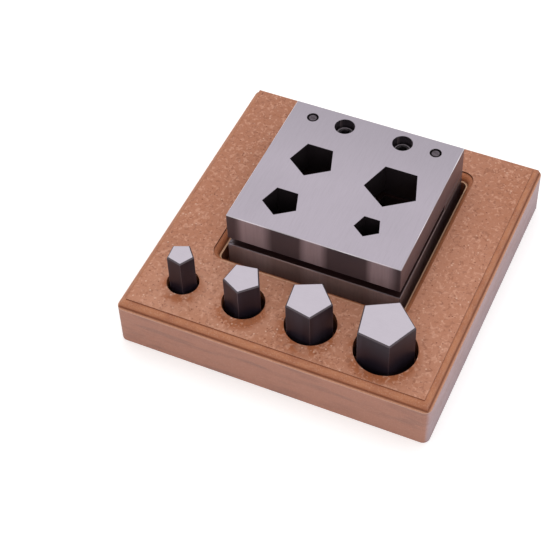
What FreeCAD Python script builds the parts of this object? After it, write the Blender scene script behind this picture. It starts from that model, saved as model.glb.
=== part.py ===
# Disc cutter: a hardened die block with four pentagonal apertures, two screws and two dowels,
# kept in a recess of a moulded fibreboard stand, with its four loose punches in holes in front.
# Millimetres. Origin at the centre of the stand's underside, +X right, +Y to the back, +Z up.

import FreeCAD, Part
import math
import os

V = FreeCAD.Vector
UP = V(0, 0, 1)

# stand: its outline is what it holds plus these margins
stand_side_margin = 35.0
stand_back_margin = 25.1
stand_front_margin = 23.8
row_to_block = 29.1
stand_height = 28.0
stand_corner_radius = 3.5

# moulding that runs round the stand's top edge and round the recess
rim_quirk = 0.9
rim_radius = 2.6
rim_drop = 4.4
rim_shelf = 1.5

# recess for the die block
recess_depth = 14.0
recess_corner_radius = 3.0
recess_side_gap = 2.5
recess_front_gap = 5.5
recess_back_gap = 2.5
recess_shelf = 0.9

# die block
plate_width = 90.0
plate_depth = 86.0
guide_thickness = 16.0
die_thickness = 16.0
plate_edge_break = 0.3
sheet_gap = 4.5
spacer_depth = 25.0
spacer_edge_break = 0.2

# row of fasteners near the back edge of the plates
fastener_setback = 8.5
screw_spacing = 31.0
pin_spacing = 66.0

# socket head cap screws
screw_diameter = 6.0
screw_tip_inset = 0.7
screw_head_diameter = 10.0
screw_head_height = 6.0
screw_head_chamfer = 0.6
screw_tip_chamfer = 0.8
screw_sink = 4.8
socket_across_flats = 5.0
socket_depth = 3.0
socket_cone_depth = 1.2
counterbore_clearance = 0.2
screw_hole_clearance = 0.3
thread_clearance = 0.02

# dowel pins
pin_diameter = 6.0
pin_sink = 0.3
pin_foot_inset = 3.5
pin_end_chamfer = 0.9
pin_clearance = 0.02

# punches: regular pentagons, named by the width across the two widest corners
punch_bevel = 0.6
punch_clearance = 0.04
punch_hole_depth = 14.0
punch_hole_clearance = 1.1

# width and length of each punch (hand-ground, so no two are quite as long), place of its aperture
# from the block's centre, place of its storage hole along the row, how far the stored punch
# stands off the hole's centre, and its turn from apex-to-the-front in degrees
PUNCHES = {
    "punch_27": {"width": 27.0, "length": 33.5, "aperture": (22.0, 5.0),
                 "hole_x": 49.3, "shift": (-0.5, 0.0), "turn": 28.7},
    "punch_22": {"width": 22.0, "length": 33.0, "aperture": (-21.0, 7.0),
                 "hole_x": 11.6, "shift": (-0.4, -0.4), "turn": 24.7},
    "punch_18": {"width": 18.0, "length": 31.5, "aperture": (-24.0, -24.5),
                 "hole_x": -23.2, "shift": (0.4, 0.5), "turn": 8.6},
    "punch_13": {"width": 13.0, "length": 34.0, "aperture": (20.5, -23.5),
                 "hole_x": -55.2, "shift": (0.2, 0.5), "turn": 22.5},
}

# how far a cutter runs past what it cuts
OVERSHOOT = 1.0

# sizes and places that follow from the sizes above
stand_width = plate_width + 2 * stand_side_margin
stand_depth = stand_front_margin + row_to_block + plate_depth + stand_back_margin
punch_row_y = -stand_depth / 2 + stand_front_margin
block_y = punch_row_y + row_to_block + plate_depth / 2
block_back_y = block_y + plate_depth / 2
fastener_y = block_back_y - fastener_setback
rim_run = rim_radius + rim_shelf
recess_rim_run = rim_radius + recess_shelf
recess_width = plate_width + 2 * recess_side_gap
recess_length = plate_depth + recess_front_gap + recess_back_gap
recess_y = block_y + (recess_back_gap - recess_front_gap) / 2
recess_floor_z = stand_height - recess_depth
die_top_z = recess_floor_z + die_thickness
guide_bottom_z = die_top_z + sheet_gap
guide_top_z = guide_bottom_z + guide_thickness
screw_seat_z = guide_top_z - screw_sink - screw_head_height
screw_length = screw_seat_z - recess_floor_z - screw_tip_inset
pin_foot_z = recess_floor_z + pin_foot_inset
pin_length = guide_top_z - pin_sink - pin_foot_z
golden_ratio = (1 + math.sqrt(5)) / 2


def pentagon_radius(width):
    """Distance from the centre to a corner of a regular pentagon that is `width` wide."""
    side = width / golden_ratio
    return side / (2 * math.sin(math.pi / 5))


def pentagon_prism(width, centre, bottom, height, turn=0.0, growth=0.0):
    """Upright pentagonal prism, apex to the front, with its flats moved out by `growth`."""
    radius = pentagon_radius(width) + growth / math.cos(math.pi / 5)
    corners = []
    for index in range(5):
        angle = math.radians(-90 + turn + 72 * index)
        x = centre[0] + radius * math.cos(angle)
        y = centre[1] + radius * math.sin(angle)
        corners.append(V(x, y, bottom))
    outline = Part.makePolygon(corners + corners[:1])
    return Part.Face(outline).extrude(UP * height)


def rounded_outline(width, length, radius, centre_y, z):
    """Closed outline of a rounded rectangle, counterclockwise from the start of its front edge."""
    half_x, half_y = width / 2, length / 2
    edges = []
    for quarter in range(4):
        across, along = (half_x, half_y) if quarter % 2 == 0 else (half_y, half_x)
        turn = FreeCAD.Rotation(UP, 90 * quarter)
        start = V(-across + radius, -along, 0)
        end = V(across - radius, -along, 0)
        corner_middle = V(across - radius + radius * math.sin(math.pi / 4),
                          -along + radius - radius * math.cos(math.pi / 4), 0)
        corner_end = V(across, -along + radius, 0)
        place = V(0, centre_y, z)
        points = [turn.multVec(point) + place for point in (start, end, corner_middle, corner_end)]
        edges.append(Part.LineSegment(points[0], points[1]).toShape())
        edges.append(Part.Arc(points[1], points[2], points[3]).toShape())
    return Part.Wire(edges)


def rounded_block(width, length, radius, centre_y, bottom, height):
    """Solid rounded rectangle standing on `bottom`."""
    return Part.Face(rounded_outline(width, length, radius, centre_y, bottom)).extrude(UP * height)


def moulding_profile(quirk, reach, run):
    """Section of the moulding cutter; `quirk` is on the stand's top, `reach` points off the wood.

    The quirk drops straight down, a quarter round rolls over, and a shelf ends `run` from the quirk.
    """
    def at(across, down):
        return quirk + reach * across - UP * down

    round_bottom = rim_quirk + rim_radius
    diagonal = rim_radius * math.sin(math.pi / 4)
    round_middle = at(diagonal, round_bottom - diagonal)
    far = run + OVERSHOOT
    return Part.Wire([
        Part.LineSegment(at(0, -OVERSHOOT), at(0, rim_quirk)).toShape(),
        Part.Arc(at(0, rim_quirk), round_middle, at(rim_radius, round_bottom)).toShape(),
        Part.LineSegment(at(rim_radius, round_bottom), at(rim_radius, rim_drop)).toShape(),
        Part.LineSegment(at(rim_radius, rim_drop), at(far, rim_drop)).toShape(),
        Part.LineSegment(at(far, rim_drop), at(far, -OVERSHOOT)).toShape(),
        Part.LineSegment(at(far, -OVERSHOOT), at(0, -OVERSHOOT)).toShape(),
    ])


def edge_passes():
    """Four straight passes of the cutter along the stand's top edges, which mitre at its corners."""
    passes = []
    for quarter in range(4):
        length, depth = (stand_width, stand_depth) if quarter % 2 == 0 else (stand_depth, stand_width)
        turn = FreeCAD.Rotation(UP, 90 * quarter)
        start = turn.multVec(V(-length / 2 - OVERSHOOT, -depth / 2 + rim_run, stand_height))
        profile = Part.Face(moulding_profile(start, turn.multVec(V(0, -1, 0)), rim_run))
        passes.append(profile.extrude(turn.multVec(V(length + 2 * OVERSHOOT, 0, 0))))
    return passes


def recess_pass():
    """One pass of the same cutter round the mouth of the recess, swept along its quirk line."""
    width = recess_width + 2 * recess_rim_run
    length = recess_length + 2 * recess_rim_run
    radius = recess_corner_radius + recess_rim_run
    path = rounded_outline(width, length, radius, recess_y, stand_height)
    start = V(-width / 2 + radius, recess_y - length / 2, stand_height)
    return path.makePipeShell([moulding_profile(start, V(0, 1, 0), recess_rim_run)], True, False)


def punch_hole(punch):
    """Round storage hole, wide enough for the punch's corners."""
    radius = pentagon_radius(punch["width"]) + punch_hole_clearance
    floor = stand_height - punch_hole_depth
    return Part.makeCylinder(radius, punch_hole_depth + OVERSHOOT, V(punch["hole_x"], punch_row_y, floor))


def make_stand():
    """Fibreboard stand: moulded top edge, moulded recess for the block, four blind punch holes."""
    stand = rounded_block(stand_width, stand_depth, stand_corner_radius, 0, 0, stand_height)
    for edge_pass in edge_passes():
        stand = stand.cut(edge_pass)
    stand = stand.cut(rounded_block(recess_width, recess_length, recess_corner_radius, recess_y,
                                    recess_floor_z, recess_depth + OVERSHOOT))
    stand = stand.cut(recess_pass())
    for punch in PUNCHES.values():
        stand = stand.cut(punch_hole(punch))
    return stand


def plate_blank(depth, centre_y, bottom, thickness, edge_break):
    """Ground steel plate as wide as the block, with all its outer edges broken."""
    corner = V(-plate_width / 2, centre_y - depth / 2, bottom)
    blank = Part.makeBox(plate_width, depth, thickness, corner)
    return blank.makeChamfer(edge_break, blank.Edges)


def cut_apertures(plate, bottom, thickness):
    """Cut the four pentagons straight through a plate."""
    for punch in PUNCHES.values():
        centre = (punch["aperture"][0], block_y + punch["aperture"][1])
        cutter = pentagon_prism(punch["width"], centre, bottom - OVERSHOOT, thickness + 2 * OVERSHOOT)
        plate = plate.cut(cutter)
    return plate


def drill_pair(plate, spacing, diameter, bottom, height):
    """Drill the left and right hole of a pair in the fastener row."""
    for side in (-1, 1):
        hole_bottom = V(side * spacing / 2, fastener_y, bottom)
        plate = plate.cut(Part.makeCylinder(diameter / 2, height, hole_bottom))
    return plate


def drill_pins(plate, bottom, thickness):
    """Ream both dowel holes through a plate."""
    hole = pin_diameter + 2 * pin_clearance
    return drill_pair(plate, pin_spacing, hole, bottom - OVERSHOOT, thickness + 2 * OVERSHOOT)


def drill_screws(plate, bottom, thickness, clearance):
    """Drill both screw holes through a plate."""
    hole = screw_diameter + 2 * clearance
    return drill_pair(plate, screw_spacing, hole, bottom - OVERSHOOT, thickness + 2 * OVERSHOOT)


def make_guide_plate():
    """Upper plate: guides the punches, with counterbores for the screw heads in its top."""
    plate = plate_blank(plate_depth, block_y, guide_bottom_z, guide_thickness, plate_edge_break)
    plate = cut_apertures(plate, guide_bottom_z, guide_thickness)
    plate = drill_pins(plate, guide_bottom_z, guide_thickness)
    plate = drill_screws(plate, guide_bottom_z, guide_thickness, screw_hole_clearance)
    return drill_pair(plate, screw_spacing, screw_head_diameter + 2 * counterbore_clearance,
                      screw_seat_z, guide_top_z - screw_seat_z + OVERSHOOT)


def make_spacer_strip():
    """Strip that closes the back of the sheet gap and sets its height."""
    centre_y = block_back_y - spacer_depth / 2
    strip = plate_blank(spacer_depth, centre_y, die_top_z, sheet_gap, spacer_edge_break)
    strip = drill_pins(strip, die_top_z, sheet_gap)
    return drill_screws(strip, die_top_z, sheet_gap, screw_hole_clearance)


def make_die_plate():
    """Lower plate: the cutting edges, reamed and tapped for the fasteners."""
    plate = plate_blank(plate_depth, block_y, recess_floor_z, die_thickness, plate_edge_break)
    plate = cut_apertures(plate, recess_floor_z, die_thickness)
    plate = drill_pins(plate, recess_floor_z, die_thickness)
    return drill_screws(plate, recess_floor_z, die_thickness, thread_clearance)


def revolved(points, place):
    """Solid of revolution about Z through `place`, from (radius, height) points."""
    corners = [V(radius, 0, height) for radius, height in points]
    face = Part.Face(Part.makePolygon(corners + corners[:1]))
    solid = face.revolve(V(0, 0, 0), UP, 360)
    solid.translate(place)
    return solid


def make_cap_screw(side):
    """Socket head cap screw, its head sunk below the guide plate's top."""
    head_radius = screw_head_diameter / 2
    shank_radius = screw_diameter / 2
    head_top = screw_head_height
    outline = [
        (0, -screw_length), (shank_radius - screw_tip_chamfer, -screw_length),
        (shank_radius, -screw_length + screw_tip_chamfer), (shank_radius, 0), (head_radius, 0),
        (head_radius, head_top - screw_head_chamfer), (head_radius - screw_head_chamfer, head_top),
        (0, head_top),
    ]
    under_head = V(side * screw_spacing / 2, fastener_y, screw_seat_z)
    screw = revolved(outline, under_head)
    corner_radius = socket_across_flats / 2 / math.cos(math.pi / 6)
    corners = []
    for index in range(6):
        angle = math.radians(60 * index)
        corners.append(under_head + V(corner_radius * math.cos(angle), corner_radius * math.sin(angle),
                                      head_top - socket_depth))
    socket = Part.Face(Part.makePolygon(corners + corners[:1])).extrude(UP * (socket_depth + OVERSHOOT))
    cone_bottom = under_head + UP * (head_top - socket_depth - socket_cone_depth)
    cone = Part.makeCone(0, socket_across_flats / 2, socket_cone_depth, cone_bottom)
    return screw.cut(socket).cut(cone)


def make_dowel_pin(side):
    """Hardened dowel with chamfered ends, driven to just below the guide plate's top."""
    radius = pin_diameter / 2
    outline = [
        (0, 0), (radius - pin_end_chamfer, 0), (radius, pin_end_chamfer),
        (radius, pin_length - pin_end_chamfer), (radius - pin_end_chamfer, pin_length), (0, pin_length),
    ]
    return revolved(outline, V(side * pin_spacing / 2, fastener_y, pin_foot_z))


def make_punch(punch):
    """Pentagonal punch standing in its storage hole, with a bevel round its struck end."""
    centre = (punch["hole_x"] + punch["shift"][0], punch_row_y + punch["shift"][1])
    floor = stand_height - punch_hole_depth
    top = floor + punch["length"]
    solid = pentagon_prism(punch["width"], centre, floor, punch["length"], punch["turn"], -punch_clearance)
    top_edges = []
    for edge in solid.Edges:
        if all(math.isclose(vertex.Z, top) for vertex in edge.Vertexes):
            top_edges.append(edge)
    return solid.makeChamfer(punch_bevel, top_edges)


def build():
    """All the pieces, by node name."""
    pieces = {
        "stand": make_stand(),
        "die_plate": make_die_plate(),
        "spacer_strip": make_spacer_strip(),
        "guide_plate": make_guide_plate(),
        "left_cap_screw": make_cap_screw(-1),
        "right_cap_screw": make_cap_screw(1),
        "left_dowel_pin": make_dowel_pin(-1),
        "right_dowel_pin": make_dowel_pin(1),
    }
    for name, punch in PUNCHES.items():
        pieces[name] = make_punch(punch)
    return pieces


os.makedirs("parts", exist_ok=True)
for name, shape in build().items():
    shape.exportStep("parts/" + name + ".step")
    print(name, "solids", len(shape.Solids), "volume", round(shape.Volume, 1), "valid", shape.isValid())
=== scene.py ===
# %% [markdown]
# A disc cutter for thin sheet metal. A steel die block with four pentagonal apertures stands in
# the recess of a moulded fibreboard stand, and its four loose punches stand in round holes in
# front of it. The solids come ready made, in metres. What this file adds is the finish of every
# surface, the light and the camera.

# %% Load the solids
import math

import bpy
from mathutils import Matrix, Vector


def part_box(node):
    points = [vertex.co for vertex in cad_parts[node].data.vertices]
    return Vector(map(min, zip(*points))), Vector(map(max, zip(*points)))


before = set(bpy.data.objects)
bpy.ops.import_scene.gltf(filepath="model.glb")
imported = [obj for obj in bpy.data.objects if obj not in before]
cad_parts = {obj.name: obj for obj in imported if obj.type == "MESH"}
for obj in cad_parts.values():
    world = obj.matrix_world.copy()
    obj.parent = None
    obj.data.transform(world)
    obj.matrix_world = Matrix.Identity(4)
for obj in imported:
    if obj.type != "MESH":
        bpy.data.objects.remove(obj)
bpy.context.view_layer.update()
MM = 0.001
print("pieces:", sorted(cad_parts))

# %% [markdown]
# The finishes change with height and with the distance from an outline, so both are read off the
# solids. That keeps every finish in register with the pieces if a size changes. A box doesn't tell
# the steps of the moulding, nor how far in front of the block the recess begins, so those are
# given here.

# %% Measure the pieces
stand_low, stand_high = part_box("stand")
guide_low, guide_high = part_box("guide_plate")
strip_low, strip_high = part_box("spacer_strip")
stand_top = stand_high.z
stand_half = (stand_high - stand_low) / 2
block_middle = (guide_low + guide_high) / 2
block_half = (guide_high - guide_low) / 2

quirk_drop = 0.9 * MM
moulding_drop = 4.4 * MM
moulding_foot = stand_top - moulding_drop
moulding_reach = 5 * MM
shelf_width = 1.5 * MM
mouth_before_block = 9.0 * MM
print("stand top at", round(stand_top / MM, 1), "mm")
print("half sizes of the block in mm:", [round(side / MM, 1) for side in block_half])

# %% [markdown]
# The camera stands in front of the stand's right-hand corner and looks down at about fifty
# degrees, with a long lens that keeps the block's sides nearly parallel. A small roll tips the
# horizon, as in the photograph. The place and the angles come from a fit to measured corners.

# %% Set up the camera
camera_place = Vector((195.2, -463.5, 591.4)) * MM
camera_turn = math.radians(26.37)
camera_height = math.radians(49.81)
camera_roll = math.radians(-2.72)
camera_lens = 100.26
film_width = 36.0
nearest_seen = 0.01


def stand_camera():
    """Camera that looks along the turn and height given above, rolled about its own axis."""
    away = Vector((math.sin(camera_turn) * math.cos(camera_height),
                   -math.cos(camera_turn) * math.cos(camera_height),
                   math.sin(camera_height)))
    level = Vector((math.cos(camera_turn), math.sin(camera_turn), 0))
    upright = away.cross(level)
    right = math.cos(camera_roll) * level + math.sin(camera_roll) * upright
    up = away.cross(right)
    turn = Matrix((right, up, away)).transposed().to_4x4()
    camera = bpy.data.objects.new("camera", bpy.data.cameras.new("camera"))
    camera.matrix_world = Matrix.Translation(camera_place) @ turn
    camera.data.lens = camera_lens
    camera.data.sensor_width = film_width
    camera.data.clip_start = nearest_seen
    bpy.context.scene.collection.objects.link(camera)
    return camera


bpy.context.scene.camera = stand_camera()
print("camera is", round((camera_place - block_middle).length, 3), "m from the block")

# %% [markdown]
# Shader nodes are easier to follow when each one is a single line. This helper makes a node,
# types in its plain values and links the inputs that are given as sockets of other nodes.

# %% Helpers for node trees
def new_finish(name):
    """Empty material with a surface shader; returns the material, its tree and the shader."""
    finish = bpy.data.materials.new(name)
    finish.use_nodes = True
    tree = finish.node_tree
    shader = tree.nodes["Principled BSDF"]
    return finish, tree, shader


def node(tree, kind, inputs=None, **settings):
    """One shader node: settings are its options, inputs go by name or number."""
    made = tree.nodes.new(kind)
    for option, value in settings.items():
        setattr(made, option, value)
    for key, value in (inputs or {}).items():
        if isinstance(value, bpy.types.NodeSocket):
            tree.links.new(value, made.inputs[key])
        else:
            made.inputs[key].default_value = value
    return made


def math_node(tree, operation, first, second=None):
    """Result of one sum on two values or sockets."""
    inputs = {0: first}
    if second is not None:
        inputs[1] = second
    return node(tree, "ShaderNodeMath", inputs, operation=operation).outputs[0]


def ramp(tree, value, low, high, to_low=0.0, to_high=1.0):
    """Value rescaled from low..high to to_low..to_high, and held at its ends."""
    inputs = {"Value": value, "From Min": low, "From Max": high, "To Min": to_low, "To Max": to_high}
    return node(tree, "ShaderNodeMapRange", inputs).outputs[0]


def noise(tree, place, size, detail=3.0, rough=0.5):
    """Soft random value with blotches of about `size` metres."""
    inputs = {"Vector": place, "Scale": 1.0 / size, "Detail": detail, "Roughness": rough}
    return node(tree, "ShaderNodeTexNoise", inputs).outputs["Fac"]


def stretched(tree, place, stretch, turn=0.0):
    """Coordinates squeezed by `stretch` and turned about the upright axis, for streaks."""
    inputs = {"Vector": place, "Rotation": (0, 0, math.radians(turn)), "Scale": stretch}
    return node(tree, "ShaderNodeMapping", inputs).outputs[0]


def shifted(tree, place, shift):
    """Coordinates moved by `shift` metres, so that two noises of one kind don't agree."""
    return node(tree, "ShaderNodeMapping", {"Vector": place, "Location": shift}).outputs[0]


def colour(red, green, blue):
    """Colour as the shader takes it, from the 0 to 255 values a screen shows."""
    linear = []
    for part in (red, green, blue):
        share = part / 255
        linear.append(share / 12.92 if share < 0.04045 else ((share + 0.055) / 1.055) ** 2.4)
    return (*linear, 1.0)


print("helpers ready")

# %% [markdown]
# A finish is built of masks. A mask is a value from 0 to 1 that says how much of a coat of colour
# a point gets. Some masks ask where the point is, some ask which way its face looks, and some are
# a noise. Coats are laid over one another like thin paint, each through its own mask. LEVEL says
# how far a face has to look up to count as level, and SHARP_EDGE how far the rounded normal near an
# edge has to turn away from the face.

# %% Masks and coats
LEVEL = (0.90, 0.97)
SHARP_EDGE = (0.995, 0.93)


def band(tree, value, low, high, soft):
    """1 where value lies from low to high, falling to 0 over `soft` outside them."""
    rise = ramp(tree, value, low - soft, low)
    fall = ramp(tree, value, high + soft, high)
    return math_node(tree, "MULTIPLY", rise, fall)


def both(tree, first, *others):
    """Product of masks: 1 only where all of them are 1."""
    for other in others:
        first = math_node(tree, "MULTIPLY", first, other)
    return first


def either(tree, first, *others):
    """Largest of masks: 1 where any of them is 1."""
    for other in others:
        first = math_node(tree, "MAXIMUM", first, other)
    return first


def thinner(tree, mask, share):
    """Mask weakened to a share of itself."""
    return math_node(tree, "MULTIPLY", mask, share)


def near_edge(tree, reach):
    """1 within about `reach` of an edge between two faces, by how far a rounded normal turns away."""
    rounded = node(tree, "ShaderNodeBevel", {"Radius": reach}, samples=6).outputs[0]
    flat = node(tree, "ShaderNodeNewGeometry").outputs["True Normal"]
    agreement = node(tree, "ShaderNodeVectorMath", {0: rounded, 1: flat}, operation="DOT_PRODUCT")
    return ramp(tree, agreement.outputs["Value"], *SHARP_EDGE)


def off_axis(tree, x, y, axis_x, axis_y):
    """Distance of a point from an upright axis."""
    off_x = math_node(tree, "SUBTRACT", x, axis_x)
    off_y = math_node(tree, "SUBTRACT", y, axis_y)
    level_place = node(tree, "ShaderNodeCombineXYZ", {0: off_x, 1: off_y}).outputs[0]
    return node(tree, "ShaderNodeVectorMath", {0: level_place}, operation="LENGTH").outputs["Value"]


def surface_facts(tree):
    """Place in metres, its x, y and z, how far the face looks along each, and to which side."""
    place = node(tree, "ShaderNodeTexCoord").outputs["Object"]
    axes = node(tree, "ShaderNodeSeparateXYZ", {0: place}).outputs
    normal = node(tree, "ShaderNodeNewGeometry").outputs["True Normal"]
    looks = node(tree, "ShaderNodeSeparateXYZ", {0: normal}).outputs
    return place, axes, [math_node(tree, "ABSOLUTE", look) for look in looks], looks


def blend(tree, share, under, over):
    """Colour that goes from `under` to `over` as share goes from 0 to 1."""
    mix = node(tree, "ShaderNodeMix", {0: share, 6: under, 7: over}, data_type="RGBA")
    return mix.outputs[2]


def paint(tree, ground, coats):
    """Colour after every coat, which is a mask and a colour, has been laid over the ground in turn."""
    for mask, coat in coats:
        ground = blend(tree, mask, ground, coat)
    return ground


def roughen(tree, shader, lines, strength, depth):
    """Fine relief on the surface, from a noise."""
    bump = node(tree, "ShaderNodeBump", {"Height": lines, "Strength": strength, "Distance": depth})
    tree.links.new(bump.outputs[0], shader.inputs["Normal"])


print("masks and coats ready")

# %% [markdown]
# Fibreboard is pressed wood fibre: an even orange brown, crossed by short curled strands that are
# a little lighter or darker, with a few odd specks. A strand here is the contour line of a soft
# noise, which wanders and curls as a fibre does, cut into short lengths by a second noise. Many
# thin contour lines look closer to pressed fibre than stretched blotches, which look like grain.

# %% Fibreboard strands and specks
NOISE_MIDDLE = 0.5
NOISE_SLOPE = 0.8
STRAND_CORE = 0.2
STRAND_PIECES = (0.55, 0.62)
SPECK_FADE = (0.36, 0.14)
SPECK_SOFT = 0.02


def strands(tree, place, size, thickness, shift):
    """Short curled fibres, about `size` long between bends and `thickness` wide."""
    moved = shifted(tree, place, shift)
    wander = math_node(tree, "SUBTRACT", noise(tree, moved, size, detail=1.0), NOISE_MIDDLE)
    width = NOISE_SLOPE * thickness / size
    line = ramp(tree, math_node(tree, "ABSOLUTE", wander), width, STRAND_CORE * width)
    pieces = ramp(tree, noise(tree, moved, 0.6 * size, detail=1.0), *STRAND_PIECES)
    return both(tree, line, pieces)


def specks(tree, place, size, share, shift):
    """Sparse specks: a share of the cells of a cell pattern, and only near each cell's middle."""
    moved = shifted(tree, place, shift)
    cells = node(tree, "ShaderNodeTexVoronoi", {"Vector": moved, "Scale": 1.0 / size, "Randomness": 1.0})
    picked = node(tree, "ShaderNodeSeparateColor", {0: cells.outputs["Color"]}).outputs[0]
    chosen = ramp(tree, picked, 1.0 - share, 1.0 - share + SPECK_SOFT)
    middle = ramp(tree, cells.outputs["Distance"], *SPECK_FADE)
    return both(tree, chosen, middle)


def board_grain(tree, place):
    """Mottle, grit, strands and specks of the pressed fibre, which all faces share."""
    return {
        "mottle": noise(tree, place, 2.4 * MM, rough=0.6),
        "grit": noise(tree, place, 0.7 * MM, rough=0.7),
        "light strands": either(tree, strands(tree, place, 4.4 * MM, 0.40 * MM, (0, 0, 0)),
                                strands(tree, place, 3.0 * MM, 0.34 * MM, (1.3, 0.7, 0))),
        "dark strands": either(tree, strands(tree, place, 3.6 * MM, 0.34 * MM, (4.1, 2.9, 0)),
                               strands(tree, place, 5.0 * MM, 0.38 * MM, (7.7, 5.3, 0))),
        "light specks": specks(tree, place, 1.5 * MM, 0.07, (0, 0, 0)),
        "dark specks": specks(tree, place, 1.4 * MM, 0.09, (3.1, 1.7, 0)),
    }


print("strands and specks ready")

# %% [markdown]
# The faces differ. The top is sanded and shows the strands best. The sides are sawn across the
# layers and show faint level streaks. The moulding was burnished by the router bit, so it is deeper
# in colour, and painted shade darkens its inner corners. The walls and floors of the recess and the
# holes are painted dark as shade. One material does all of it, because which way a face looks, how
# high it lies and whether it lies near the outline tell the faces apart.

# %% Fibreboard colours
board_top = colour(188, 130, 104)
board_orange = colour(174, 112, 81)
# Painted shade of the moulding inside the recess.
board_recess_moulding_shade = colour(160, 86, 46)
board_patch = colour(158, 97, 62)
# Painted shadow of the punches, just in front of their holes.
board_punch_shadow = colour(166, 92, 50)
# Light tone: grain, the paler front left of the top, and the painted highlight on the shelf's outer edge.
board_light_tone_and_highlight = colour(222, 168, 143)
board_dark = colour(136, 84, 62)
board_side = colour(176, 124, 106)
# The next two are painted reflections on the right-hand side: of the sky, and of the floor lower down.
board_side_sky_reflection = colour(186, 158, 162)
board_side_floor_reflection = colour(158, 142, 148)
board_side_streak = colour(158, 112, 98)
board_side_seam = colour(128, 98, 92)
board_moulding = colour(183, 120, 86)
# Streaks along the moulding, and its painted shade towards the foot of the round.
board_moulding_streak_and_shade = colour(156, 94, 68)
# Dark specks of the grain, and the painted shade in the moulding's quirk and inner corners.
board_dark_speck_and_shade = colour(118, 66, 46)
# Pale flecks of the grain, and the painted highlight just under the moulding.
board_pale_fleck_and_highlight = colour(226, 188, 166)
# Painted highlight on the shelf and along the edge in front of the recess.
board_shelf_highlight = colour(226, 186, 152)
# Painted shade in the quirk inside the recess.
board_recess_quirk_shade = colour(76, 38, 20)
# The next two paint the walls and floors of the recess and the holes dark as shade.
board_recess_floor_shade = colour(128, 76, 54)
board_recess_wall_shade = colour(112, 66, 48)
print("twenty colours of one board")

# %% Parts of the board
def board_parts(tree, axes, faces, looks):
    """Masks that tell the board's parts apart, and how far a point lies past its outline."""
    height = axes[2]
    past_side = math_node(tree, "SUBTRACT", math_node(tree, "ABSOLUTE", axes[0]), stand_half.x)
    past_end = math_node(tree, "SUBTRACT", math_node(tree, "ABSOLUTE", axes[1]), stand_half.y)
    past_outline = either(tree, past_side, past_end)
    looks_up = ramp(tree, faces[2], *LEVEL)
    at_top = ramp(tree, height, stand_top - 0.2 * MM, stand_top - 0.1 * MM)
    at_foot = band(tree, height, moulding_foot - 0.1 * MM, moulding_foot + 0.1 * MM, 0.1 * MM)
    under_foot = ramp(tree, height, moulding_foot - 0.5 * MM, moulding_foot - 0.6 * MM)
    return {
        "past outline": past_outline,
        "outer": ramp(tree, past_outline, -moulding_reach - 1 * MM, -moulding_reach),
        "upright": ramp(tree, faces[2], 0.30, 0.10),
        "right": ramp(tree, looks[0], 0.5, 0.9),
        "top": both(tree, looks_up, at_top),
        "shelf": both(tree, looks_up, at_foot),
        "moulding": band(tree, height, moulding_foot - 0.05 * MM, stand_top - 0.15 * MM, 0.04 * MM),
        "floor": both(tree, looks_up, under_foot),
    }


print("parts of the board told apart")

# %% [markdown]
# The top is paler in front on the left, browner at the back and on the right. Wide patches deepen
# it near the front. Just in front of each punch hole the punch's shadow is painted in as a darker
# orange patch. Along the edge in front of the recess runs a broken painted highlight.

# %% Colour of the board's top
# Place and size of the painted shadow just in front of each punch.
punch_shadow_forward = 4 * MM
punch_shadow_width = (5.5 * MM, 2 * MM)


def punch_shadow_pools(tree, axes):
    """Painted shadow of each punch: 1 just in front of its hole, falling to 0 some millimetres away from it.
    """
    rings = []
    for punch in ("punch_27", "punch_22", "punch_18", "punch_13"):
        low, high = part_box(punch)
        middle = (low + high) / 2
        radius = (high.x - low.x) / 2
        distance = off_axis(tree, axes[0], axes[1], middle.x, middle.y - punch_shadow_forward)
        rings.append(ramp(tree, distance, radius + punch_shadow_width[0], radius + punch_shadow_width[1]))
    return either(tree, *rings)


def mouth_highlight(tree, axes, mottle):
    """Broken painted highlight along the edge in front of the recess, strongest on the left."""
    mouth = guide_low.y - mouth_before_block
    line = band(tree, axes[1], mouth - 0.6 * MM, mouth, 0.3 * MM)
    beside = ramp(tree, math_node(tree, "ABSOLUTE", axes[0]), block_half.x, block_half.x - 3 * MM)
    broken = ramp(tree, mottle, 0.35, 0.60, 0.25, 0.75)
    fainter_right = ramp(tree, axes[0], 0.0, -30 * MM, 0.4, 1.0)
    return both(tree, line, beside, broken, fainter_right)


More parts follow.
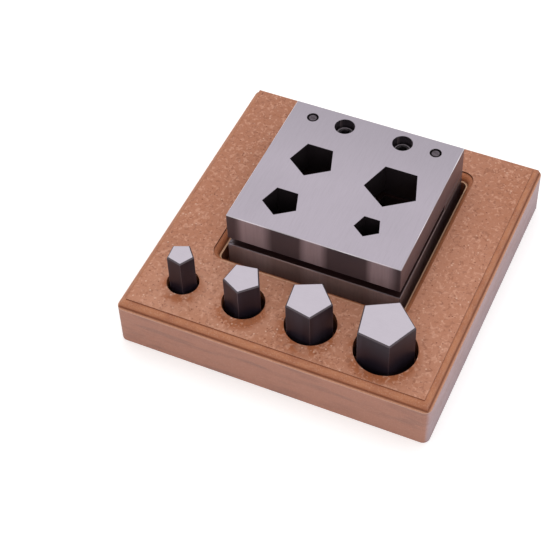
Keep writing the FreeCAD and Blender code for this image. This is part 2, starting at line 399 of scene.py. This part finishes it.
def board_top_colour(tree, place, axes, grain):
    """Broad tints first, then patches and the painted punch shadows, then grit, strands and specks."""
    x, y = axes[0], axes[1]
    to_left = ramp(tree, x, 70 * MM, -60 * MM, 0.0, 0.36)
    to_back = ramp(tree, y, 10 * MM, 80 * MM, 0.0, 0.20)
    back_right = both(tree, ramp(tree, x, 50 * MM, 78 * MM, 0.0, 0.7), ramp(tree, y, 10 * MM, 50 * MM))
    front_left = both(tree, ramp(tree, x, 5 * MM, -25 * MM), ramp(tree, x, -80 * MM, -64 * MM),
                      ramp(tree, y, -25 * MM, -55 * MM, 0.0, 0.34))

    patch_noise = noise(tree, shifted(tree, place, (2.2, 6.1, 0)), 16 * MM, detail=2.0)
    patches = both(tree, ramp(tree, patch_noise, 0.48, 0.64, 0.0, 0.28),
                   ramp(tree, y, -30 * MM, -60 * MM, 0.3, 1.0), ramp(tree, x, 66 * MM, 50 * MM))
    # Painted shadow of the punches on the top, broken by a noise.
    punch_shadow_noise = noise(tree, shifted(tree, place, (5.2, 3.4, 0)), 6 * MM, detail=2.0)
    punch_shadow_mask = both(tree, punch_shadow_pools(tree, axes), ramp(tree, punch_shadow_noise, 0.36, 0.52, 0.0, 0.8))

    return paint(tree, board_top, [
        (to_left, board_orange),
        (back_right, board_orange),
        (front_left, board_light_tone_and_highlight),
        (to_back, board_dark),
        (patches, board_patch),
        (punch_shadow_mask, board_punch_shadow),
        (ramp(tree, grain["mottle"], 0.45, 0.72, 0.0, 0.4), board_orange),
        (ramp(tree, grain["grit"], 0.52, 0.80, 0.0, 0.16), board_light_tone_and_highlight),
        (ramp(tree, grain["grit"], 0.48, 0.20, 0.0, 0.18), board_dark),
        (thinner(tree, grain["dark strands"], 0.45), board_dark),
        (thinner(tree, grain["light strands"], 0.50), board_light_tone_and_highlight),
        (thinner(tree, grain["dark specks"], 0.85), board_dark_speck_and_shade),
        (thinner(tree, grain["light specks"], 0.85), board_pale_fleck_and_highlight),
        # Painted highlight along the edge in front of the recess.
        (mouth_highlight(tree, axes, grain["mottle"]), board_shelf_highlight),
    ])


print("top described")

# %% [markdown]
# The sides show the pressed layers end on: broad soft streaks, and thin darker seams among them.
# The right-hand side is painted paler, a painted reflection of the sky, and greyer near the floor,
# a painted reflection of the floor. Just under the moulding every side carries a painted highlight.
# Inside the recess and the holes the walls are painted one dark colour as shade.

# %% Colour of the board's sides
def board_side_colour(tree, place, height, part, grain):
    """Sawn sides with level streaks and seams, painted reflections on the right, a painted highlight under
    the moulding, and walls painted dark as shade inside the recess and the holes.
    """
    # Painted reflection of the floor, low on the right-hand side.
    floor_reflection_mask = both(tree, part["right"], ramp(tree, height, 0.8 * moulding_foot, 0.0, 0.0, 0.5))
    fewer_right = ramp(tree, part["right"], 0.0, 1.0, 1.0, 0.35)
    layers = noise(tree, stretched(tree, place, (1, 1, 5)), 22 * MM, rough=0.55)
    streaks = both(tree, ramp(tree, layers, 0.50, 0.66, 0.0, 0.6), fewer_right)
    seam_place = shifted(tree, stretched(tree, place, (1, 1, 9)), (0, 3.7, 0))
    seam_noise = noise(tree, seam_place, 34 * MM, detail=2.0)
    seams = both(tree, ramp(tree, seam_noise, 0.58, 0.66, 0.0, 0.32), fewer_right)
    outside = paint(tree, board_side, [
        (part["right"], board_side_sky_reflection),
        (floor_reflection_mask, board_side_floor_reflection),
        (streaks, board_side_streak),
        (seams, board_side_seam),
        (ramp(tree, grain["grit"], 0.50, 0.80, 0.0, 0.25), board_pale_fleck_and_highlight),
        (thinner(tree, grain["dark strands"], 0.15), board_side_streak),
        # Painted highlight just under the moulding.
        (ramp(tree, height, moulding_foot - 0.7 * MM, moulding_foot - 0.2 * MM, 0.0, 0.60), board_pale_fleck_and_highlight),
    ])
    # Walls inside the recess and the holes are painted dark as shade.
    return blend(tree, part["outer"], board_recess_wall_shade, outside)


print("sides described")

# %% [markdown]
# The moulding has a quirk, which is a small square drop from the top, then a quarter round and a
# narrow shelf at its foot. Painted shade darkens the quirk, most inside the recess, the lower part
# of the round and the corners where the round meets the shelf, and inside the recess the whole
# moulding is painted a deeper orange as shade. The shelf carries a painted highlight, strong all
# round the recess and faint round the outline, with a broken painted highlight along its outer edge.

# %% Colour of the moulding
def board_moulding_colour(tree, place, height, part, grain):
    """Burnished quarter round with painted shade in the quirk and inner corners and a painted highlight on
    the shelf.
    """
    # Painted shade inside the recess: a deeper orange moulding and a darker quirk.
    recess_moulding_shade = ramp(tree, part["outer"], 0.0, 1.0, 0.45, 0.0)
    recess_quirk_shade_mask = ramp(tree, part["outer"], 0.0, 1.0, 0.9, 0.0)
    # Painted highlight on the shelf, strongest round the recess.
    shelf_highlight_mask = ramp(tree, part["outer"], 0.0, 1.0, 0.90, 0.20)
    sweep = noise(tree, stretched(tree, place, (1, 1, 3)), 9 * MM, rough=0.6)
    # Painted shade towards the foot of the round.
    round_foot_shade = ramp(tree, height, moulding_foot + 2.4 * MM, moulding_foot + 0.4 * MM, 0.0, 0.6)
    quirk = both(tree, part["upright"], band(tree, height, stand_top - quirk_drop, stand_top, 0.1 * MM))
    round_foot = band(tree, height, moulding_foot, moulding_foot + 0.5 * MM, 0.3 * MM)
    shelf_back = band(tree, part["past outline"], -shelf_width - 0.1 * MM, -shelf_width + 0.5 * MM, 0.3 * MM)
    shelf_front = ramp(tree, part["past outline"], -0.8 * MM, -0.4 * MM, 0.0, 0.55)
    # Breaks up the painted highlight along the shelf's outer edge.
    edge_highlight_breakup = ramp(tree, grain["grit"], 0.35, 0.55, 0.2, 1.0)
    return paint(tree, board_moulding, [
        (ramp(tree, sweep, 0.40, 0.70, 0.0, 0.7), board_moulding_streak_and_shade),
        (ramp(tree, grain["grit"], 0.52, 0.78, 0.0, 0.4), board_pale_fleck_and_highlight),
        (round_foot_shade, board_moulding_streak_and_shade),
        (recess_moulding_shade, board_recess_moulding_shade),
        # Painted shade in the quirk, at the foot of the round and at the back of the shelf.
        (thinner(tree, quirk, 0.70), board_dark_speck_and_shade),
        (both(tree, quirk, recess_quirk_shade_mask), board_recess_quirk_shade),
        (thinner(tree, both(tree, part["upright"], round_foot), 0.40), board_dark_speck_and_shade),
        (both(tree, part["shelf"], shelf_highlight_mask), board_shelf_highlight),
        (thinner(tree, both(tree, part["shelf"], shelf_back), 0.55), board_dark_speck_and_shade),
        (both(tree, part["shelf"], shelf_front, edge_highlight_breakup), board_light_tone_and_highlight),
    ])


print("moulding described")

# %% Fibreboard finish
def board_finish():
    """Sanded top, sawn sides, burnished moulding and routed recesses painted dark as shade, in one material.
    """
    finish, tree, shader = new_finish("fibreboard")
    place, axes, faces, looks = surface_facts(tree)
    part = board_parts(tree, axes, faces, looks)
    grain = board_grain(tree, place)
    body = paint(tree, board_side_colour(tree, place, axes[2], part, grain), [
        (part["top"], board_top_colour(tree, place, axes, grain)),
        (part["moulding"], board_moulding_colour(tree, place, axes[2], part, grain)),
        (part["floor"], board_recess_floor_shade),
    ])
    tree.links.new(body, shader.inputs["Base Color"])
    relief = math_node(tree, "SUBTRACT", grain["light strands"], grain["dark strands"])
    roughen(tree, shader, math_node(tree, "ADD", relief, grain["grit"]), 0.4, 0.10 * MM)
    tree.links.new(ramp(tree, grain["mottle"], 0.3, 0.7, 0.45, 0.62), shader.inputs["Roughness"])
    shader.inputs["Specular IOR Level"].default_value = 0.35
    return finish


fibreboard = board_finish()
print("made", fibreboard.name)

# %% [markdown]
# The plates are tool steel. The upper face is ground on a surface grinder, which leaves very fine
# straight lines and a light grey that holds a soft reflection, with painted shade a little darker
# towards the back. The outer sides are milled and left with a dull skin, so they take part of their
# light as a dull surface does. Their colour is painted shade with broad upright painted reflection
# bands, a separate painted shading on the right-hand sides, a warm painted reflection low down, and
# painted shade low on the right that deepens towards the back. The walls of the apertures are wire
# cut and nearly black in use. The faces inside the sheet gap are painted dark as shade. The narrow
# edge breaks carry a painted highlight, brightest on top, and one corner of the die plate a small
# painted glint.

# %% Ground plate colours
plate_face = colour(186, 177, 188)
# Random mottle of the ground face, and the painted shade towards its back.
plate_face_mottle_and_shade = colour(172, 164, 174)
# Grinding lines, and the painted glint on the die plate's front left corner.
plate_grind_line_and_glint = colour(158, 149, 158)
# Painted shade on the faces inside the sheet gap.
plate_gap_shade = colour(56, 34, 34)
# The next five paint the milled sides: painted reflection bands, painted shade, painted shading of the
# right-hand sides and a warm painted reflection low down.
plate_side_reflection = colour(168, 152, 160)
plate_side_shade_and_scratch = colour(86, 75, 81)
plate_right_side_shading = colour(114, 97, 103)
plate_low_side_reflection = colour(206, 168, 158)
plate_side_shaded = colour(74, 60, 63)
plate_wall = colour(46, 39, 42)
plate_bore = colour(56, 49, 55)
# The next two are painted highlights on the edge breaks.
plate_edge_highlight_top = colour(238, 232, 238)
plate_edge_highlight_low = colour(106, 92, 95)
print("thirteen colours of ground and milled steel")

# %% Colours of the plates' faces and sides
# Where the painted reflection bands lie across the sides.
reflection_band_spans = ((-37 * MM, -25 * MM), (-3 * MM, 4 * MM), (31 * MM, 39 * MM))
reflection_band_fade = 4 * MM
reflection_band_drift = 2 * MM
skin_depth = (0.6 * MM, 0.5 * MM)


def plate_face_colour(tree, from_middle, at_top, clouds, lines):
    """Ground face with painted shade a little darker towards the back; painted dark as shade where it isn't
    the upper one.
    """
    # Painted shade: a little darker towards the back.
    further_back = ramp(tree, from_middle, -0.1 * block_half.y, block_half.y)
    face = paint(tree, plate_face, [
        (further_back, plate_face_mottle_and_shade),
        (ramp(tree, clouds, 0.40, 0.70, 0.0, 0.4), plate_face_mottle_and_shade),
        (ramp(tree, lines, 0.45, 0.80, 0.0, 0.30), plate_grind_line_and_glint),
    ])
    # Faces other than the upper one are painted dark as shade.
    return blend(tree, at_top, plate_gap_shade, face)


def plate_side_colour(tree, place, across, height, from_middle, looks_across):
    """Milled sides painted dark as shade, with upright painted reflection bands, a warm painted reflection
    low down, and painted shade on the right that deepens towards the back low down.
    """
    wander = noise(tree, stretched(tree, place, (1, 1, 0.15)), 7 * MM, detail=2.0)
    drift = ramp(tree, wander, 0.0, 1.0, -reflection_band_drift, reflection_band_drift)
    seen_across = math_node(tree, "ADD", across, drift)
    bands = [band(tree, seen_across, low, high, reflection_band_fade) for low, high in reflection_band_spans]
    fainter_behind = ramp(tree, from_middle, 0.0, 0.5 * block_half.y, 1.0, 0.35)
    is_low = ramp(tree, height, strip_high.z, strip_low.z)
    shaded = ramp(tree, from_middle, -1.1 * block_half.y, 0.3 * block_half.y, 0.2, 1.0)
    scratches = noise(tree, stretched(tree, place, (1, 1, 0.06)), 0.9 * MM, detail=2.0)
    return paint(tree, plate_side_shade_and_scratch, [
        # Painted reflection bands over the painted shade, then painted shading on the right and low down.
        (both(tree, either(tree, *bands), fainter_behind), plate_side_reflection),
        (looks_across, plate_right_side_shading),
        (thinner(tree, is_low, 0.6), plate_low_side_reflection),
        (both(tree, shaded, is_low, looks_across), plate_side_shaded),
        (ramp(tree, scratches, 0.45, 0.75, 0.0, 0.15), plate_side_shade_and_scratch),
    ])


def die_corner_glint(tree, place):
    """Small painted glint on the front left corner of the die plate."""
    die_corner = (guide_low.x, guide_low.y, strip_low.z)
    away = node(tree, "ShaderNodeVectorMath", {0: place, 1: die_corner}, operation="DISTANCE")
    glint_breakup = ramp(tree, noise(tree, place, 1.5 * MM, detail=2.0, rough=0.6), 0.40, 0.56, 0.1, 0.75)
    return both(tree, ramp(tree, away.outputs["Value"], 3.6 * MM, 1.6 * MM), glint_breakup)


print("faces and sides described")

# %% Ground plate finish
def plate_finish():
    """Ground top, milled sides in painted shade and reflections, wire-cut walls, and edge breaks with a
    painted highlight.
    """
    finish, tree, shader = new_finish("ground_steel")
    place, axes, faces, _ = surface_facts(tree)
    across, along, height = axes
    from_middle = math_node(tree, "SUBTRACT", along, block_middle.y)
    looks_up = ramp(tree, faces[2], *LEVEL)
    looks_across = ramp(tree, faces[0], 0.5, 0.9)
    is_break = ramp(tree, either(tree, *faces), 0.80, 0.74)
    outermost, innermost = skin_depth
    at_top = ramp(tree, height, guide_high.z - outermost, guide_high.z - innermost)
    off_x = math_node(tree, "ABSOLUTE", across)
    off_y = math_node(tree, "ABSOLUTE", from_middle)
    out_x = ramp(tree, off_x, block_half.x - outermost, block_half.x - innermost)
    out_y = ramp(tree, off_y, block_half.y - outermost, block_half.y - innermost)
    is_side = both(tree, either(tree, out_x, out_y), ramp(tree, faces[2], *reversed(LEVEL)))
    in_bore = ramp(tree, from_middle, 0.60 * block_half.y, 0.64 * block_half.y)

    clouds = noise(tree, place, 40 * MM)
    lines = noise(tree, stretched(tree, place, (30, 1, 1)), 9 * MM, detail=4.0, rough=0.7)
    # Painted highlight on the edge breaks.
    edge_highlight_mask = both(tree, is_break, ramp(tree, clouds, 0.40, 0.55, 0.45, 1.0))
    body = paint(tree, blend(tree, in_bore, plate_wall, plate_bore), [
        (is_side, plate_side_colour(tree, place, across, height, from_middle, looks_across)),
        (looks_up, plate_face_colour(tree, from_middle, at_top, clouds, lines)),
        (edge_highlight_mask, blend(tree, at_top, plate_edge_highlight_low, plate_edge_highlight_top)),
        # Painted glint on the die plate's corner.
        (die_corner_glint(tree, place), plate_grind_line_and_glint),
    ])
    tree.links.new(body, shader.inputs["Base Color"])
    tree.links.new(ramp(tree, lines, 0.3, 0.7, 0.28, 0.40), shader.inputs["Roughness"])
    bare_metal = both(tree, either(tree, looks_up, is_break), at_top)
    tree.links.new(ramp(tree, bare_metal, 0.0, 1.0, 0.40, 1.0), shader.inputs["Metallic"])
    roughen(tree, shader, lines, 0.10, 0.02 * MM)
    return finish


ground_steel = plate_finish()
print("made", ground_steel.name)

# %% [markdown]
# The punches are ground bright on their struck ends only. Their five flats are painted near black
# as shade, lighter in streaks, with a painted highlight along the edges between them, so each punch
# reads as a dark prism with a pale top. The bevel round the end is painted dark grey as shade. A
# bevel node finds the edges: it turns the normal near one.

# %% Punch finish
punch_end = colour(202, 194, 204)
punch_end_line = colour(182, 174, 184)
# Painted shade on the flats.
punch_flat_shade = colour(42, 35, 46)
punch_flat_worn = colour(57, 50, 61)
# Painted highlight along the edges between the flats.
punch_edge_highlight = colour(128, 118, 126)
# Painted shade on the bevel round the end.
punch_bevel_shade = colour(84, 75, 80)
grinding_turn = 17
# How far from an edge the painted highlight reaches.
edge_highlight_reach = 0.35 * MM


def punch_finish():
    """Bright ends; flats in painted shade with a painted highlight along their edges; bevel in painted
    shade.
    """
    finish, tree, shader = new_finish("punch_steel")
    place, _, faces, _ = surface_facts(tree)
    is_end = ramp(tree, faces[2], *LEVEL)
    is_bevel = band(tree, faces[2], 0.40, 0.90, 0.05)
    lines = noise(tree, stretched(tree, place, (1, 24, 1), grinding_turn), 6 * MM, detail=4.0, rough=0.7)
    streaks = noise(tree, stretched(tree, place, (1, 1, 0.10)), 5 * MM)
    # Painted highlight along the edges between the flats.
    punch_edge_highlight_mask = both(tree, near_edge(tree, edge_highlight_reach), ramp(tree, streaks, 0.35, 0.60, 0.35, 0.9))
    end = blend(tree, ramp(tree, lines, 0.45, 0.80, 0.0, 0.35), punch_end, punch_end_line)
    body = paint(tree, punch_flat_shade, [
        (ramp(tree, streaks, 0.45, 0.75), punch_flat_worn),
        (punch_edge_highlight_mask, punch_edge_highlight),
        (is_end, end),
        (is_bevel, punch_bevel_shade),
    ])
    tree.links.new(body, shader.inputs["Base Color"])
    tree.links.new(ramp(tree, streaks, 0.3, 0.7, 0.32, 0.45), shader.inputs["Roughness"])
    tree.links.new(ramp(tree, is_end, 0.0, 1.0, 0.5, 1.0), shader.inputs["Metallic"])
    roughen(tree, shader, lines, 0.10, 0.02 * MM)
    return finish


punch_steel = punch_finish()
print("made", punch_steel.name)

# %% [markdown]
# Cap screws come blackened with oil on them: a very dark metal with a soft sheen, with a painted
# glint in a ring near the rim of the head. The dowel pins are hardened and centreless ground: a mid
# grey end, and painted shade on the chamfer round it, down in the hole. One finish with two sets of
# values serves both. Its ring is a band of distance from the piece's axis, which is the middle of its box.

# %% Screw and pin finishes
screw_black = colour(30, 27, 30)
screw_rubbed = colour(78, 72, 76)
# Painted glint in a ring near the rim of the screw head.
screw_rim_glint = colour(162, 152, 160)
pin_grey = colour(106, 97, 105)
pin_dull = colour(76, 68, 73)
# Painted shade on the pin's chamfer down in its hole.
pin_chamfer_shade = colour(34, 28, 32)


def turned_finish(name, piece, colours, ring_from, ring_to, patch_size, metallic):
    """Small turned part: one metal with dull patches, a painted ring on its end and fine turning lines. The
    ring is a painted glint on the screws and painted shade on the pins.
    """
    bare, dull, painted_ring = colours
    low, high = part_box(piece)
    middle = (low + high) / 2
    finish, tree, shader = new_finish(name)
    place, axes, _, _ = surface_facts(tree)
    from_axis = off_axis(tree, math_node(tree, "ABSOLUTE", axes[0]), axes[1], middle.x, middle.y)
    on_end = ramp(tree, axes[2], high.z - ring_to, high.z - 0.9 * ring_to)
    is_ring = both(tree, on_end, band(tree, from_axis, ring_from, ring_to, 0.15 * MM))
    patches = noise(tree, place, patch_size, detail=4.0, rough=0.6)
    body = paint(tree, bare, [(ramp(tree, patches, 0.42, 0.66), dull), (is_ring, painted_ring)])
    tree.links.new(body, shader.inputs["Base Color"])
    tree.links.new(ramp(tree, patches, 0.3, 0.7, 0.32, 0.48), shader.inputs["Roughness"])
    shader.inputs["Metallic"].default_value = metallic
    lines = noise(tree, stretched(tree, place, (1, 1, 20)), 2 * MM, detail=2.0)
    roughen(tree, shader, lines, 0.15, 0.02 * MM)
    return finish


screw_colours = (screw_black, screw_rubbed, screw_rim_glint)
pin_colours = (pin_grey, pin_dull, pin_chamfer_shade)
blackened_steel = turned_finish("blackened_steel", "right_cap_screw", screw_colours, ring_from=3.8 * MM,
                                ring_to=4.2 * MM, patch_size=2.5 * MM, metallic=0.3)
pin_steel = turned_finish("pin_steel", "right_dowel_pin", pin_colours, ring_from=2.0 * MM,
                          ring_to=3.1 * MM, patch_size=1.6 * MM, metallic=0.9)
print("made", blackened_steel.name, "and", pin_steel.name)

# %% [markdown]
# Each solid keeps its shape and takes one of these finishes in its material slot.

# %% Dress the solids
finish_of = {
    "stand": fibreboard,
    "guide_plate": ground_steel,
    "spacer_strip": ground_steel,
    "die_plate": ground_steel,
    "left_cap_screw": blackened_steel,
    "right_cap_screw": blackened_steel,
    "left_dowel_pin": pin_steel,
    "right_dowel_pin": pin_steel,
    "punch_27": punch_steel,
    "punch_22": punch_steel,
    "punch_18": punch_steel,
    "punch_13": punch_steel,
}
for name, finish in finish_of.items():
    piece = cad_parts[name]
    if not piece.material_slots:
        piece.data.materials.append(None)
    for material_slot in piece.material_slots:
        material_slot.link = "OBJECT"
        material_slot.material = finish
print("dressed", len(finish_of), "pieces")

# %% [markdown]
# The floor is a plain white sweep. It takes the object's soft shadow as a real floor does, and a
# little light of its own, seen by the camera only, lifts it to the white of studio paper.

# %% Floor and surroundings
WHITE = (1, 1, 1, 1)
paper_greys = (0.88, 0.92)
paper_glow = 0.36
floor_reach = 3.0
floor_drop = 0.05 * MM
sky_level = 0.62


def floor_finish():
    """White paper with a faint mottle, lifted to white for the camera."""
    finish, tree, shader = new_finish("studio_paper")
    place = node(tree, "ShaderNodeTexCoord").outputs["Object"]
    mottle = noise(tree, place, 60 * MM, detail=2.0)
    darker, lighter = [(grey, grey, grey, 1) for grey in paper_greys]
    tree.links.new(blend(tree, mottle, darker, lighter), shader.inputs["Base Color"])
    shader.inputs["Roughness"].default_value = 0.9
    shader.inputs["Specular IOR Level"].default_value = 0.1
    seen = node(tree, "ShaderNodeLightPath").outputs["Is Camera Ray"]
    tree.links.new(thinner(tree, seen, paper_glow), shader.inputs["Emission Strength"])
    shader.inputs["Emission Color"].default_value = WHITE
    return finish


def lay_floor():
    """Large square just under the stand."""
    mesh = bpy.data.meshes.new("floor")
    corners = [(-floor_reach, -floor_reach, 0), (floor_reach, -floor_reach, 0),
               (floor_reach, floor_reach, 0), (-floor_reach, floor_reach, 0)]
    mesh.from_pydata(corners, [], [(0, 1, 2, 3)])
    floor = bpy.data.objects.new("floor", mesh)
    floor.location.z = -floor_drop
    floor.data.materials.append(floor_finish())
    bpy.context.scene.collection.objects.link(floor)


def paint_world(level):
    """Even soft light of the given level; what is seen directly or in a reflection is white."""
    world = bpy.data.worlds.new("studio")
    bpy.context.scene.world = world
    world.use_nodes = True
    tree = world.node_tree
    rays = node(tree, "ShaderNodeLightPath").outputs
    seen = either(tree, rays["Is Camera Ray"], rays["Is Glossy Ray"], rays["Is Transmission Ray"])
    background = tree.nodes["Background"]
    background.inputs["Color"].default_value = WHITE
    tree.links.new(ramp(tree, seen, 0.0, 1.0, level, 1.0), background.inputs["Strength"])


lay_floor()
paint_world(sky_level)
print("floor laid, world painted")

# %% [markdown]
# One large soft lamp hangs above and behind, so the broad faces are bright and the sides
# towards the camera stay dark. A weaker one in front on the right opens the shadows.

# %% Lamps
def hang_lamp(name, place, size, power):
    """Square soft lamp aimed at the middle of the block, not mirrored in the steel."""
    lamp = bpy.data.objects.new(name, bpy.data.lights.new(name, "AREA"))
    lamp.data.size = size
    lamp.data.energy = power
    lamp.location = place
    aim = block_middle - Vector(place)
    lamp.rotation_euler = aim.to_track_quat("-Z", "Y").to_euler()
    lamp.visible_glossy = False
    bpy.context.scene.collection.objects.link(lamp)


hang_lamp("soft_lamp_behind", place=(-0.15, 0.40, 1.00), size=1.1, power=4.5)
hang_lamp("soft_lamp_in_front", place=(0.5, -0.8, 0.6), size=0.6, power=2.2)
bpy.context.scene.view_settings.view_transform = "Standard"
print("two lamps hung")
